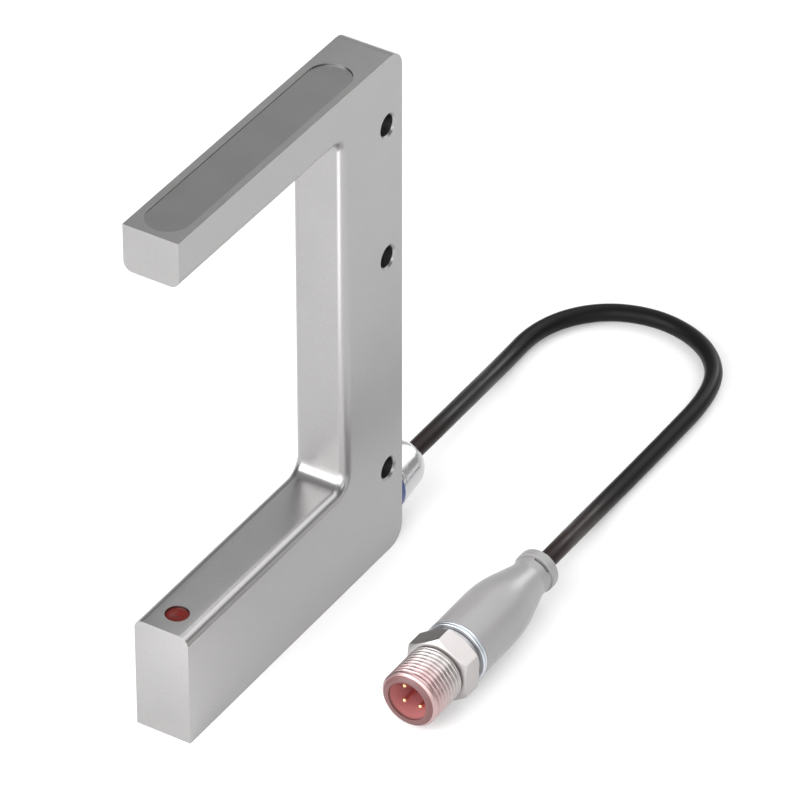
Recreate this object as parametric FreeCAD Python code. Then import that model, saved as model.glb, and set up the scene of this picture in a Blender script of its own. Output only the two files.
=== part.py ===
import FreeCAD, Part
import math
import os
from FreeCAD import Vector

# Fork sensor: a C-shaped aluminium housing with a light emitter in its lower arm and a receiver
# in its upper arm, a cable gland at its back, and a short cable that ends in a screw plug.
# Millimetres, +Z up. The housing stands on its lower arm and its arms point along -Y.
# The origin is the middle of the housing's underside.

# Housing
HOUSING_WIDTH = 12.0
FORK_OPENING = 80.0
FORK_DEPTH = 55.0
LIMB_DEPTH = 20.0
LOWER_ARM_HEIGHT = 25.0
UPPER_ARM_HEIGHT = 10.0
INNER_CORNER_RADIUS = 3.0
WINDOW_EDGE_RADIUS = 2.0
REAR_CORNER_RADIUS = 4.0

# Cross holes for the mounting screws
HOLE_DIAMETER = 4.5
HOLE_CHAMFER = 0.4
HOLE_FROM_BACK = 5.0
LOWEST_HOLE_HEIGHT = 20.0
LOWER_HOLE_SPACING = 50.0
UPPER_HOLE_SPACING = 30.0

# Electronics pockets, open through the arms' outer faces and shut by glued plates
POCKET_SIDE_WALL = 1.5
POCKET_FRONT_WALL = 1.6
POCKET_REAR_WALL = 11.3
COVER_RECESS = 0.3
COVER_THICKNESS = 1.0
COVER_GAP = 0.05
COVER_LEDGE = 0.8
ARM_WALL = 3.0
BOARD_LEDGE = 0.8
BOARD_LEDGE_HEIGHT = 2.0
WIRE_CHANNEL_DIAMETER = 4.5

# Optics
BEAM_FROM_TIP = 5.5
LENS_BORE_DIAMETER = 4.8
LENS_THICKNESS = 1.6
LENS_RECESS = 0.4
LENS_GAP = 0.05
APERTURE_DIAMETER = 3.6
DIMPLE_RADIUS = 0.5
DIMPLE_DEPTH = 0.15
HOLDER_DIAMETER = 5.8
HOLDER_HEIGHT = 7.5
LED_DIAMETER = 3.0
LED_BODY_HEIGHT = 3.8
LED_FLANGE_DIAMETER = 3.8
LED_FLANGE_HEIGHT = 1.0
LED_GAP = 0.05
LEG_DIAMETER = 0.5
LEG_DROPS = (1.5, 3.0)
LEG_SPACING = 1.8
PHOTODIODE_SIZE = 3.0
PHOTODIODE_HEIGHT = 1.0

# Boards and their parts
MAIN_BOARD_THICKNESS = 1.0
MAIN_BOARD_FROM_MIDDLE = 1.7
RECEIVER_BOARD_THICKNESS = 0.8
BOARD_GAP = 0.3
BOARD_TO_CHANNEL = 4.5
AMPLIFIER_SIZE = (1.4, 7.0, 6.0)
DRIVER_SIZE = (1.4, 5.0, 4.0)
RECEIVER_CHIP_SIZE = (3.0, 5.0, 1.1)
CAPACITOR_SIZE = (1.2, 2.0, 1.25)
CAPACITOR_COUNT = 3
CAPACITOR_PITCH = 3.0
AMPLIFIER_FROM_BEAM = 16.0
DRIVER_FROM_BEAM = 26.0
CAPACITOR_FROM_BEAM = 34.0
CHIP_HEIGHT = 12.0
LINK_WIRE_DIAMETER = 0.8
LINK_WIRE_COUNT = 3
LINK_WIRE_PITCH = 1.1
LINK_WIRE_DEPTH = 3.5
LINK_WIRE_LAP = 4.0
WIRE_GAP = 0.05

# Cable gland at the housing's back
GLAND_HEIGHT = 9.65
SPIGOT_DIAMETER = 8.0
SPIGOT_LENGTH = 9.5
SPIGOT_GAP = 0.05
SEAL_THICKNESS = 1.5
SEAL_DIAMETER = 12.0
FLANGE_THICKNESS = 1.0
FLANGE_DIAMETER = 11.95
SLEEVE_DIAMETER = 8.4
SLEEVE_LENGTH = 3.5
CAP_BASE_DIAMETER = 11.9
CAP_DOME_DIAMETER = 10.7
CAP_CONE_LENGTH = 5.3
GROMMET_DIAMETER = 6.3
GROMMET_LENGTH = 3.4
GLAND_GAP = 0.05

# Cable
CABLE_DIAMETER = 3.7
CABLE_GAP = 0.08
CABLE_TAIL_LENGTH = 15.5
CORE_DIAMETER = 1.0
CORE_COUNT = 3
CORE_CIRCLE_RADIUS = 0.9
CORE_SPREAD = 2.1
CORE_BEND_RUN = 3.5
CORE_LAP = 4.0
CABLE_FLOOR_GAP = 0.05
CABLE_START_IN_CAP = 2.3
CABLE_FIRST_RUN = 14.5
CABLE_LAST_RUN = 11.55
CABLE_END_GAP = 0.5
ARC_SHARE = 0.45

# Screw plug, lying level beside the housing with its nose along -Y; the tip is the screw's
PLUG_X = 38.8
PLUG_TIP_Y = -12.7
FLOOR_GAP = 0.04
HEX_ACROSS_FLATS = 13.0
HEX_FACE_DIAMETER = 12.7
HEX_CHAMFER_SLOPE = 0.6
THREAD_DIAMETER = 12.0
THREAD_LENGTH = 9.95
THREAD_CHAMFER = 0.45
SCREW_WALL = 1.05
SCREW_MOUTH_WALL = 0.55
SCREW_MOUTH_DEPTH = 1.2
HEX_LENGTH = 5.0
SCREW_HUB_DIAMETER = 11.8
SCREW_HUB_LENGTH = 1.35
SHOULDER_DEPTH = 10.0
SHOULDER_STEP = 0.57
RUNNING_GAP = 0.08
END_PLAY = 0.1
CARRIER_NOSE = 0.45
CARRIER_RIM_WIDTH = 0.55
CARRIER_TAIL = 6.4
SOCKET_DIAMETER = 8.3
SOCKET_DEPTH = 9.85
PIN_DIAMETER = 1.0
PIN_PITCH = 3.54
PIN_RECESS = 1.2
PIN_ROOT = 5.5
PIN_GAP = 0.02
RING_DIAMETER = 13.42
RING_THICKNESS = 1.2
RING_CHAMFER = 0.25
GRIP_DIAMETER = 13.36
GRIP_LENGTH = 30.15
GRIP_CONE_LENGTH = 10.1
GRIP_SHOULDER_RADIUS = 29.0
NECK_DIAMETER = 8.1
NECK_LENGTH = 2.6
COLLAR_DIAMETER = 8.8
COLLAR_LENGTH = 2.45
COLLAR_FRONT_CHAMFER = 0.2
COLLAR_REAR_CHAMFER = 0.5
GRIP_FRONT_CHAMFER = 0.3
CABLE_SEAT_DEPTH = 5.5

# Worked-out places
HOUSING_DEPTH = FORK_DEPTH + LIMB_DEPTH
HOUSING_HEIGHT = LOWER_ARM_HEIGHT + FORK_OPENING + UPPER_ARM_HEIGHT
SIDE_X = HOUSING_WIDTH / 2
FRONT_Y = -HOUSING_DEPTH / 2
BACK_Y = HOUSING_DEPTH / 2
WINDOW_Y = BACK_Y - LIMB_DEPTH
WINDOW_TOP = LOWER_ARM_HEIGHT + FORK_OPENING
BEAM_Y = FRONT_Y + BEAM_FROM_TIP
HOLE_Y = BACK_Y - HOLE_FROM_BACK
MIDDLE_HOLE_HEIGHT = LOWEST_HOLE_HEIGHT + LOWER_HOLE_SPACING
HOLE_HEIGHTS = (LOWEST_HOLE_HEIGHT, MIDDLE_HOLE_HEIGHT, MIDDLE_HOLE_HEIGHT + UPPER_HOLE_SPACING)
POCKET_WIDTH = HOUSING_WIDTH - 2 * POCKET_SIDE_WALL
POCKET_FRONT = FRONT_Y + POCKET_FRONT_WALL
POCKET_REAR = BACK_Y - POCKET_REAR_WALL
CAVITY_WIDTH = POCKET_WIDTH - 2 * COVER_LEDGE
CAVITY_FRONT = POCKET_FRONT + COVER_LEDGE
CAVITY_REAR = POCKET_REAR - COVER_LEDGE
CHANNEL_Y = CAVITY_REAR - CAVITY_WIDTH / 2
LOWER_ROOF = LOWER_ARM_HEIGHT - ARM_WALL
UPPER_FLOOR = WINDOW_TOP + ARM_WALL
UPPER_LEDGE = UPPER_FLOOR + BOARD_LEDGE_HEIGHT
UPPER_BOARD_TOP = UPPER_LEDGE + RECEIVER_BOARD_THICKNESS
BOARD_REAR = CHANNEL_Y - BOARD_TO_CHANNEL
BOARD_FACE_X = -MAIN_BOARD_FROM_MIDDLE
BOARD_BACK_X = BOARD_FACE_X - MAIN_BOARD_THICKNESS
SPIGOT_END = BACK_Y - SPIGOT_LENGTH
SEAL_END = BACK_Y + SEAL_THICKNESS
FLANGE_END = SEAL_END + FLANGE_THICKNESS
SLEEVE_END = FLANGE_END + SLEEVE_LENGTH
DOME_Y = FLANGE_END + CAP_CONE_LENGTH
CABLE_RADIUS = CABLE_DIAMETER / 2
PASSAGE_RADIUS = CABLE_RADIUS + CABLE_GAP
PLUG_Z = HEX_ACROSS_FLATS / math.sqrt(3) + FLOOR_GAP
SCREW_END = THREAD_LENGTH + HEX_LENGTH + SCREW_HUB_LENGTH
RING_START = SCREW_END + END_PLAY
GRIP_START = RING_START + RING_THICKNESS
GRIP_END = GRIP_START + GRIP_LENGTH
SCREW_BORE_RADIUS = THREAD_DIAMETER / 2 - SCREW_WALL
SCREW_MOUTH_RADIUS = THREAD_DIAMETER / 2 - SCREW_MOUTH_WALL
CARRIER_RADIUS = SCREW_BORE_RADIUS - RUNNING_GAP
CARRIER_HEAD_RADIUS = SCREW_MOUTH_RADIUS - RUNNING_GAP
CARRIER_TAIL_RADIUS = CARRIER_RADIUS - SHOULDER_STEP
SOCKET_FLOOR = SOCKET_DEPTH - CARRIER_NOSE
PLUG_REAR_Y = PLUG_TIP_Y + GRIP_END

# The cable's route: straight out of the gland, down to the floor, one wide turn, back along the
# housing and up into the plug. The heights on the floor are the cable's own radius.
CABLE_FLOOR = CABLE_RADIUS + CABLE_FLOOR_GAP
CABLE_START = DOME_Y - CABLE_START_IN_CAP
CABLE_END = PLUG_REAR_Y - CABLE_SEAT_DEPTH + CABLE_END_GAP
CABLE_ROUTE = [
    Vector(0, CABLE_START, GLAND_HEIGHT),
    Vector(0, CABLE_START + CABLE_FIRST_RUN, GLAND_HEIGHT),
    Vector(-1.9, 73.3, 7.1),
    Vector(-5.6, 93.6, CABLE_FLOOR),
    Vector(-6.1, 109.3, CABLE_FLOOR),
    Vector(1.5, 120.9, CABLE_FLOOR),
    Vector(14.2, 125.1, CABLE_FLOOR),
    Vector(27.2, 121.1, CABLE_FLOOR),
    Vector(35.0, 110.2, CABLE_FLOOR),
    Vector(35.3, 86.2, CABLE_FLOOR),
    Vector(35.2, 64.2, CABLE_FLOOR),
    Vector(36.7, 53.1, 4.3),
    Vector(PLUG_X, CABLE_END + CABLE_LAST_RUN, PLUG_Z),
    Vector(PLUG_X, CABLE_END, PLUG_Z),
]


def prism(points, direction):
    """A closed outline of points, pushed along a direction."""
    outline = Part.makePolygon(points + [points[0]])
    return Part.Face(outline).extrude(direction)


def slot(front, rear, width, low, high):
    """An upright prism with round ends, lying along Y."""
    radius = width / 2
    front_centre = front + radius
    rear_centre = rear - radius
    edges = [
        Part.LineSegment(Vector(radius, front_centre, low), Vector(radius, rear_centre, low)),
        Part.Arc(
            Vector(radius, rear_centre, low),
            Vector(0, rear, low),
            Vector(-radius, rear_centre, low),
        ),
        Part.LineSegment(Vector(-radius, rear_centre, low), Vector(-radius, front_centre, low)),
        Part.Arc(
            Vector(-radius, front_centre, low),
            Vector(0, front, low),
            Vector(radius, front_centre, low),
        ),
    ]
    outline = Part.Wire([edge.toShape() for edge in edges])
    return Part.Face(outline).extrude(Vector(0, 0, high - low))


def bar_along_y(radius, start, end, x, z):
    """A round bar from start to end along Y."""
    return Part.makeCylinder(radius, end - start, Vector(x, start, z), Vector(0, 1, 0))


def turned(outline, x, z):
    """A closed outline of (y, radius) points, turned about the axis along Y through x and z."""
    points = [Vector(x, y, z + radius) for y, radius in outline]
    face = Part.Face(Part.makePolygon(points + [points[0]]))
    return face.revolve(Vector(x, 0, z), Vector(0, 1, 0), 360)


def plug_turned(outline):
    """As turned, about the plug's axis, with each place counted back from the plug's tip."""
    return turned([(PLUG_TIP_Y + back, radius) for back, radius in outline], PLUG_X, PLUG_Z)


def tube(points, diameter, name):
    """A round tube along straight runs that are joined by tangent arcs."""
    edges = []
    reached = points[0]
    for before, corner, after in zip(points, points[1:], points[2:]):
        run_in = corner - before
        run_out = after - corner
        shorter = min(run_in.Length, run_out.Length)
        half_turn = run_in.getAngle(run_out) / 2
        reach = ARC_SHARE * shorter
        radius = reach / math.tan(half_turn)
        towards = Vector(run_in).normalize()
        away = Vector(run_out).normalize()
        start = corner - towards * reach
        end = corner + away * reach
        inward = (away - towards).normalize()
        sagitta = radius / math.cos(half_turn) - radius
        middle = corner + inward * sagitta
        edges.append(Part.LineSegment(reached, start).toShape())
        edges.append(Part.Arc(start, middle, end).toShape())
        reached = end
        print(name, "arc radius", round(radius, 2), "is", round(radius / diameter, 1), "diameters")
    edges.append(Part.LineSegment(reached, points[-1]).toShape())
    spine = Part.Wire(edges)
    outline = Part.Wire(Part.makeCircle(diameter / 2, points[0], points[1] - points[0]))
    solid = spine.makePipeShell([outline], True, False)
    expected = math.pi * diameter**2 / 4 * spine.Length
    print(name, "length", round(spine.Length, 1))
    print(name, "volume", round(solid.Volume, 1), "from its section and length", round(expected, 1))
    return solid


def edges_where(shape, test):
    """The shape's edges whose middle point passes the test."""
    chosen = []
    for edge in shape.Edges:
        middle = edge.valueAt((edge.FirstParameter + edge.LastParameter) / 2)
        if test(middle):
            chosen.append(edge)
    return chosen


def near(value, target):
    """Whether two places agree."""
    return abs(value - target) < 1e-4


def rims(shape, back, diameter):
    """The round edges of that diameter at a place counted back from the plug's tip."""
    place = PLUG_TIP_Y + back
    length = math.pi * diameter
    return [e for e in shape.Edges if near(e.Length, length) and near(e.CenterOfMass.y, place)]


def fork_frame():
    """The C-shaped block with its rounded corners and its softened window edges."""
    block = Part.makeBox(HOUSING_WIDTH, HOUSING_DEPTH, HOUSING_HEIGHT, Vector(-SIDE_X, FRONT_Y, 0))
    window = Part.makeBox(
        HOUSING_WIDTH, FORK_DEPTH, FORK_OPENING, Vector(-SIDE_X, FRONT_Y, LOWER_ARM_HEIGHT)
    )
    frame = block.cut(window)
    rear = edges_where(frame, lambda p: near(p.x, 0) and near(p.y, BACK_Y))
    frame = frame.makeFillet(REAR_CORNER_RADIUS, rear)
    inner = edges_where(frame, lambda p: near(p.x, 0) and near(p.y, WINDOW_Y))
    frame = frame.makeFillet(INNER_CORNER_RADIUS, inner)
    margin = INNER_CORNER_RADIUS / 10
    window_edges = edges_where(
        frame,
        lambda p: near(abs(p.x), SIDE_X)
        and FRONT_Y + margin < p.y < WINDOW_Y + margin
        and LOWER_ARM_HEIGHT - margin < p.z < WINDOW_TOP + margin,
    )
    return frame.makeFillet(WINDOW_EDGE_RADIUS, window_edges)


def cross_hole(height):
    """A screw hole along X with a chamfer at each mouth."""
    radius = HOLE_DIAMETER / 2
    mouth = radius + HOLE_CHAMFER
    outline = [
        Vector(-SIDE_X, HOLE_Y, height),
        Vector(-SIDE_X, HOLE_Y + mouth, height),
        Vector(HOLE_CHAMFER - SIDE_X, HOLE_Y + radius, height),
        Vector(SIDE_X - HOLE_CHAMFER, HOLE_Y + radius, height),
        Vector(SIDE_X, HOLE_Y + mouth, height),
        Vector(SIDE_X, HOLE_Y, height),
    ]
    face = Part.Face(Part.makePolygon(outline + [outline[0]]))
    return face.revolve(Vector(0, HOLE_Y, height), Vector(1, 0, 0), 360)


def lens_bore(face_height, inward):
    """A stepped bore for a lens and its light path, from an arm's inner face into its cavity."""
    seat = LENS_RECESS + LENS_THICKNESS
    direction = Vector(0, 0, inward)
    mouth = Vector(0, BEAM_Y, face_height)
    wide = Part.makeCylinder(LENS_BORE_DIAMETER / 2, seat, mouth, direction)
    narrow = Part.makeCylinder(APERTURE_DIAMETER / 2, ARM_WALL, mouth, direction)
    return wide.fuse(narrow)


def make_housing():
    """The housing, machined from one block."""
    cover_seat = COVER_RECESS + COVER_THICKNESS
    trough_front = CAVITY_FRONT + BOARD_LEDGE
    trough_rear = CAVITY_REAR - BOARD_LEDGE
    trough_width = CAVITY_WIDTH - 2 * BOARD_LEDGE
    cuts = [
        slot(POCKET_FRONT, POCKET_REAR, POCKET_WIDTH, HOUSING_HEIGHT - cover_seat, HOUSING_HEIGHT),
        slot(CAVITY_FRONT, CAVITY_REAR, CAVITY_WIDTH, UPPER_LEDGE, HOUSING_HEIGHT),
        slot(trough_front, trough_rear, trough_width, UPPER_FLOOR, HOUSING_HEIGHT),
        slot(POCKET_FRONT, POCKET_REAR, POCKET_WIDTH, 0, cover_seat),
        slot(CAVITY_FRONT, CAVITY_REAR, CAVITY_WIDTH, 0, LOWER_ROOF),
        Part.makeCylinder(
            WIRE_CHANNEL_DIAMETER / 2, UPPER_FLOOR - LOWER_ROOF, Vector(0, CHANNEL_Y, LOWER_ROOF)
        ),
        bar_along_y(SPIGOT_DIAMETER / 2 + SPIGOT_GAP, CHANNEL_Y, BACK_Y, 0, GLAND_HEIGHT),
        lens_bore(LOWER_ARM_HEIGHT, -1),
        lens_bore(WINDOW_TOP, 1),
    ]
    cuts += [cross_hole(height) for height in HOLE_HEIGHTS]
    return fork_frame().cut(cuts)


def make_cover(outer_face, inward):
    """A plate with round ends, glued on its ledge just below an arm's outer face."""
    outside = outer_face + inward * COVER_RECESS
    inside = outside + inward * COVER_THICKNESS
    return slot(
        POCKET_FRONT + COVER_GAP,
        POCKET_REAR - COVER_GAP,
        POCKET_WIDTH - 2 * COVER_GAP,
        min(outside, inside),
        max(outside, inside),
    )


def make_lens(arm_face, inward):
    """A round window with a small dimple in the middle of its outer side."""
    radius = LENS_BORE_DIAMETER / 2 - LENS_GAP
    outer = Vector(0, BEAM_Y, arm_face + inward * LENS_RECESS)
    disc = Part.makeCylinder(radius, LENS_THICKNESS, outer, Vector(0, 0, inward))
    ball_radius = (DIMPLE_RADIUS**2 + DIMPLE_DEPTH**2) / (2 * DIMPLE_DEPTH)
    ball = Part.makeSphere(ball_radius, outer - Vector(0, 0, inward * (ball_radius - DIMPLE_DEPTH)))
    return disc.cut(ball)


def make_emitter_holder():
    """A sleeve under the lower arm's roof that centres the light source on the beam."""
    bottom = Vector(0, BEAM_Y, LOWER_ROOF - HOLDER_HEIGHT)
    sleeve = Part.makeCylinder(HOLDER_DIAMETER / 2, HOLDER_HEIGHT, bottom)
    bore = Part.makeCylinder(LED_DIAMETER / 2 + LED_GAP, HOLDER_HEIGHT, bottom)
    return sleeve.cut(bore)


def make_emitter_led():
    """The light source: a domed body, a flange that seats on the holder, and two bent legs."""
    seat = LOWER_ROOF - HOLDER_HEIGHT
    radius = LED_DIAMETER / 2
    body = Part.makeCylinder(radius, LED_BODY_HEIGHT, Vector(0, BEAM_Y, seat))
    dome = Part.makeSphere(radius, Vector(0, BEAM_Y, seat + LED_BODY_HEIGHT))
    flange_bottom = seat - LED_FLANGE_HEIGHT
    flange = Part.makeCylinder(LED_FLANGE_DIAMETER / 2, LED_FLANGE_HEIGHT, Vector(0, BEAM_Y, flange_bottom))
    led = body.fuse([dome, flange])
    leg_x = BOARD_FACE_X + LEG_DIAMETER / 2 + WIRE_GAP
    leg_end = BEAM_Y + HOLDER_DIAMETER
    for drop, side in zip(LEG_DROPS, (1, -1)):
        leg_y = BEAM_Y + side * LEG_SPACING / 2
        leg = tube(
            [
                Vector(leg_x, leg_y, flange_bottom),
                Vector(leg_x, leg_y, flange_bottom - drop),
                Vector(leg_x, leg_end, flange_bottom - drop),
            ],
            LEG_DIAMETER,
            "led leg",
        )
        led = led.fuse(leg)
    return led.removeSplitter()


def make_main_board():
    """The upright board in the lower arm, from the light source to the wire channel."""
    front = BEAM_Y + HOLDER_DIAMETER / 2 + BOARD_GAP
    low = COVER_RECESS + COVER_THICKNESS + BOARD_GAP
    corner = Vector(BOARD_BACK_X, front, low)
    return Part.makeBox(MAIN_BOARD_THICKNESS, BOARD_REAR - front, LOWER_ROOF - low, corner)


def chip(size, from_beam, height):
    """A block on the main board's face."""
    across, along, tall = size
    return Part.makeBox(across, along, tall, Vector(BOARD_FACE_X, BEAM_Y + from_beam - along / 2, height))


def make_filter_capacitors():
    """A row of small capacitors on the main board."""
    return Part.makeCompound(
        [
            chip(CAPACITOR_SIZE, CAPACITOR_FROM_BEAM, CHIP_HEIGHT + index * CAPACITOR_PITCH)
            for index in range(CAPACITOR_COUNT)
        ]
    )


def make_receiver_board():
    """The flat board on the ledges of the upper arm's cavity."""
    return slot(
        CAVITY_FRONT + BOARD_GAP,
        BOARD_REAR,
        CAVITY_WIDTH - 2 * BOARD_GAP,
        UPPER_LEDGE,
        UPPER_BOARD_TOP,
    )


def make_receiver_photodiode():
    """The light detector under the receiver board, over the lens."""
    corner = Vector(-PHOTODIODE_SIZE / 2, BEAM_Y - PHOTODIODE_SIZE / 2, UPPER_LEDGE - PHOTODIODE_HEIGHT)
    return Part.makeBox(PHOTODIODE_SIZE, PHOTODIODE_SIZE, PHOTODIODE_HEIGHT, corner)


def make_receiver_chip():
    """The amplifier on top of the receiver board."""
    across, along, tall = RECEIVER_CHIP_SIZE
    corner = Vector(-across / 2, BEAM_Y + AMPLIFIER_FROM_BEAM - along / 2, UPPER_BOARD_TOP)
    return Part.makeBox(across, along, tall, corner)


def make_link_wires():
    """The wires from the main board up through the back limb to the receiver board."""
    lift = LINK_WIRE_DIAMETER / 2 + WIRE_GAP
    x = BOARD_FACE_X + lift
    wires = []
    for index in range(LINK_WIRE_COUNT):
        y = CHANNEL_Y + (index - (LINK_WIRE_COUNT - 1) / 2) * LINK_WIRE_PITCH
        low = LOWER_ROOF - LINK_WIRE_DEPTH - index * LINK_WIRE_PITCH
        high = UPPER_BOARD_TOP + lift + index * (LINK_WIRE_DIAMETER + WIRE_GAP)
        route = [
            Vector(x, BOARD_REAR - LINK_WIRE_LAP, low),
            Vector(x, y, low),
            Vector(x, y, high),
            Vector(x, BOARD_REAR - LINK_WIRE_LAP, high),
        ]
        wires.append(tube(route, LINK_WIRE_DIAMETER, "link wire"))
    return Part.makeCompound(wires)


def make_gland_body():
    """The gland's spigot in the housing, its flange, and the sleeve that carries the cap."""
    outline = [
        (SPIGOT_END, PASSAGE_RADIUS),
        (SPIGOT_END, SPIGOT_DIAMETER / 2),
        (SEAL_END, SPIGOT_DIAMETER / 2),
        (SEAL_END, FLANGE_DIAMETER / 2),
        (FLANGE_END, FLANGE_DIAMETER / 2),
        (FLANGE_END, SLEEVE_DIAMETER / 2),
        (SLEEVE_END, SLEEVE_DIAMETER / 2),
        (SLEEVE_END, PASSAGE_RADIUS),
    ]
    return turned(outline, 0, GLAND_HEIGHT)


def make_seal_ring():
    """The ring between the housing's back and the gland's flange."""
    ring = bar_along_y(SEAL_DIAMETER / 2, BACK_Y, SEAL_END, 0, GLAND_HEIGHT)
    return ring.cut(bar_along_y(SPIGOT_DIAMETER / 2 + SPIGOT_GAP, BACK_Y, SEAL_END, 0, GLAND_HEIGHT))


def make_gland_cap():
    """The cap: a slim cone that ends in half a ball, hollow for the sleeve and the grommet."""
    dome_radius = CAP_DOME_DIAMETER / 2
    base_radius = CAP_BASE_DIAMETER / 2
    cone = Part.makeCone(
        base_radius, dome_radius, CAP_CONE_LENGTH, Vector(0, FLANGE_END, GLAND_HEIGHT), Vector(0, 1, 0)
    )
    ball = Part.makeSphere(dome_radius, Vector(0, DOME_Y, GLAND_HEIGHT))
    far_end = DOME_Y + dome_radius
    half_ball = ball.common(bar_along_y(base_radius, DOME_Y, far_end, 0, GLAND_HEIGHT))
    sleeve_room = bar_along_y(SLEEVE_DIAMETER / 2 + GLAND_GAP, FLANGE_END, SLEEVE_END, 0, GLAND_HEIGHT)
    grommet_end = SLEEVE_END + GROMMET_LENGTH
    grommet_room = bar_along_y(GROMMET_DIAMETER / 2 + GLAND_GAP, FLANGE_END, grommet_end, 0, GLAND_HEIGHT)
    passage = bar_along_y(PASSAGE_RADIUS, FLANGE_END, far_end, 0, GLAND_HEIGHT)
    return cone.fuse(half_ball).removeSplitter().cut([sleeve_room, grommet_room, passage])


def make_cable_grommet():
    """The rubber bush that the cap squeezes round the cable."""
    end = SLEEVE_END + GROMMET_LENGTH
    bush = bar_along_y(GROMMET_DIAMETER / 2, SLEEVE_END, end, 0, GLAND_HEIGHT)
    return bush.cut(bar_along_y(PASSAGE_RADIUS, SLEEVE_END, end, 0, GLAND_HEIGHT))


def make_cable():
    """The cable, with the straight tail of its jacket through the gland into the housing."""
    tail_end = BACK_Y - CABLE_TAIL_LENGTH
    tail = bar_along_y(CABLE_RADIUS, tail_end, CABLE_ROUTE[0].y, 0, GLAND_HEIGHT)
    return tail.fuse(tube(CABLE_ROUTE, CABLE_DIAMETER, "cable")).removeSplitter()


def make_cable_cores():
    """The stripped cores, from the end of the jacket to their pads on the main board."""
    start = BACK_Y - CABLE_TAIL_LENGTH
    board_x = BOARD_FACE_X + CORE_DIAMETER / 2 + WIRE_GAP
    cores = []
    for index in range(CORE_COUNT):
        angle = math.radians(90 + index * 360 / CORE_COUNT)
        x = CORE_CIRCLE_RADIUS * math.cos(angle)
        z = GLAND_HEIGHT + CORE_CIRCLE_RADIUS * math.sin(angle)
        pad_z = GLAND_HEIGHT + CORE_SPREAD * (1 - index)
        route = [
            Vector(x, start, z),
            Vector(x, start - CORE_BEND_RUN, z),
            Vector(board_x, start - 2 * CORE_BEND_RUN, pad_z),
            Vector(board_x, start - 2 * CORE_BEND_RUN - CORE_LAP, pad_z),
        ]
        cores.append(tube(route, CORE_DIAMETER, "core"))
    return Part.makeCompound(cores)


def make_coupling_screw():
    """The screw that turns on the plug: an outside thread blank, a hexagon and a hub."""
    thread_radius = THREAD_DIAMETER / 2
    corner_radius = HEX_ACROSS_FLATS / math.sqrt(3)
    hex_end = THREAD_LENGTH + HEX_LENGTH
    face_radius = HEX_FACE_DIAMETER / 2
    chamfer = (corner_radius - face_radius) * HEX_CHAMFER_SLOPE
    corners = []
    for index in range(6):
        angle = math.radians(90 + 60 * index)
        x = PLUG_X + corner_radius * math.cos(angle)
        z = PLUG_Z + corner_radius * math.sin(angle)
        corners.append(Vector(x, PLUG_TIP_Y + THREAD_LENGTH, z))
    hexagon = prism(corners, Vector(0, HEX_LENGTH, 0))
    turned_blank = plug_turned(
        [
            (THREAD_LENGTH, 0),
            (THREAD_LENGTH, face_radius),
            (THREAD_LENGTH + chamfer, corner_radius),
            (hex_end - chamfer, corner_radius),
            (hex_end, face_radius),
            (hex_end, 0),
        ]
    )
    shank = plug_turned(
        [
            (0, 0),
            (0, thread_radius - THREAD_CHAMFER),
            (THREAD_CHAMFER, thread_radius),
            (THREAD_LENGTH, thread_radius),
            (THREAD_LENGTH, SCREW_HUB_DIAMETER / 2),
            (SCREW_END, SCREW_HUB_DIAMETER / 2),
            (SCREW_END, 0),
        ]
    )
    bore = plug_turned(
        [
            (0, 0),
            (0, SCREW_MOUTH_RADIUS),
            (SCREW_MOUTH_DEPTH, SCREW_MOUTH_RADIUS),
            (SCREW_MOUTH_DEPTH, SCREW_BORE_RADIUS),
            (SHOULDER_DEPTH, SCREW_BORE_RADIUS),
            (SHOULDER_DEPTH, CARRIER_TAIL_RADIUS + RUNNING_GAP),
            (SCREW_END, CARRIER_TAIL_RADIUS + RUNNING_GAP),
            (SCREW_END, 0),
        ]
    )
    return hexagon.common(turned_blank).fuse(shank).removeSplitter().cut(bore)


def pin_places():
    """The contact pins' places round the plug's axis; the fourth place is empty."""
    half = PIN_PITCH / 2
    return [(-half, half), (-half, -half), (half, -half)]


def make_contact_carrier():
    """The insulating carrier: a nose that stands out of the screw, a deep socket, a head and a
    shoulder that the screw pushes on, and a tail."""
    head_end = SCREW_MOUTH_DEPTH - END_PLAY
    shoulder = SHOULDER_DEPTH - END_PLAY
    socket_radius = SOCKET_DIAMETER / 2
    tail_end = GRIP_START + CARRIER_TAIL
    carrier = plug_turned(
        [
            (SOCKET_FLOOR, 0),
            (SOCKET_FLOOR, socket_radius),
            (-CARRIER_NOSE, socket_radius),
            (-CARRIER_NOSE, socket_radius + CARRIER_RIM_WIDTH),
            (0, CARRIER_HEAD_RADIUS),
            (head_end, CARRIER_HEAD_RADIUS),
            (head_end, CARRIER_RADIUS),
            (shoulder, CARRIER_RADIUS),
            (shoulder, CARRIER_TAIL_RADIUS),
            (tail_end, CARRIER_TAIL_RADIUS),
            (tail_end, 0),
        ]
    )
    start = PLUG_TIP_Y + SOCKET_FLOOR
    end = start + PIN_ROOT
    holes = [
        bar_along_y(PIN_DIAMETER / 2 + PIN_GAP, start, end, PLUG_X + x, PLUG_Z + z)
        for x, z in pin_places()
    ]
    return carrier.cut(holes)


def make_contact_pin(x, z):
    """A contact pin with a rounded tip."""
    radius = PIN_DIAMETER / 2
    tip = PLUG_TIP_Y + PIN_RECESS + radius
    root = PLUG_TIP_Y + SOCKET_FLOOR + PIN_ROOT
    pin = bar_along_y(radius, tip, root, PLUG_X + x, PLUG_Z + z)
    return pin.fuse(Part.makeSphere(radius, Vector(PLUG_X + x, tip, PLUG_Z + z))).removeSplitter()


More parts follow.
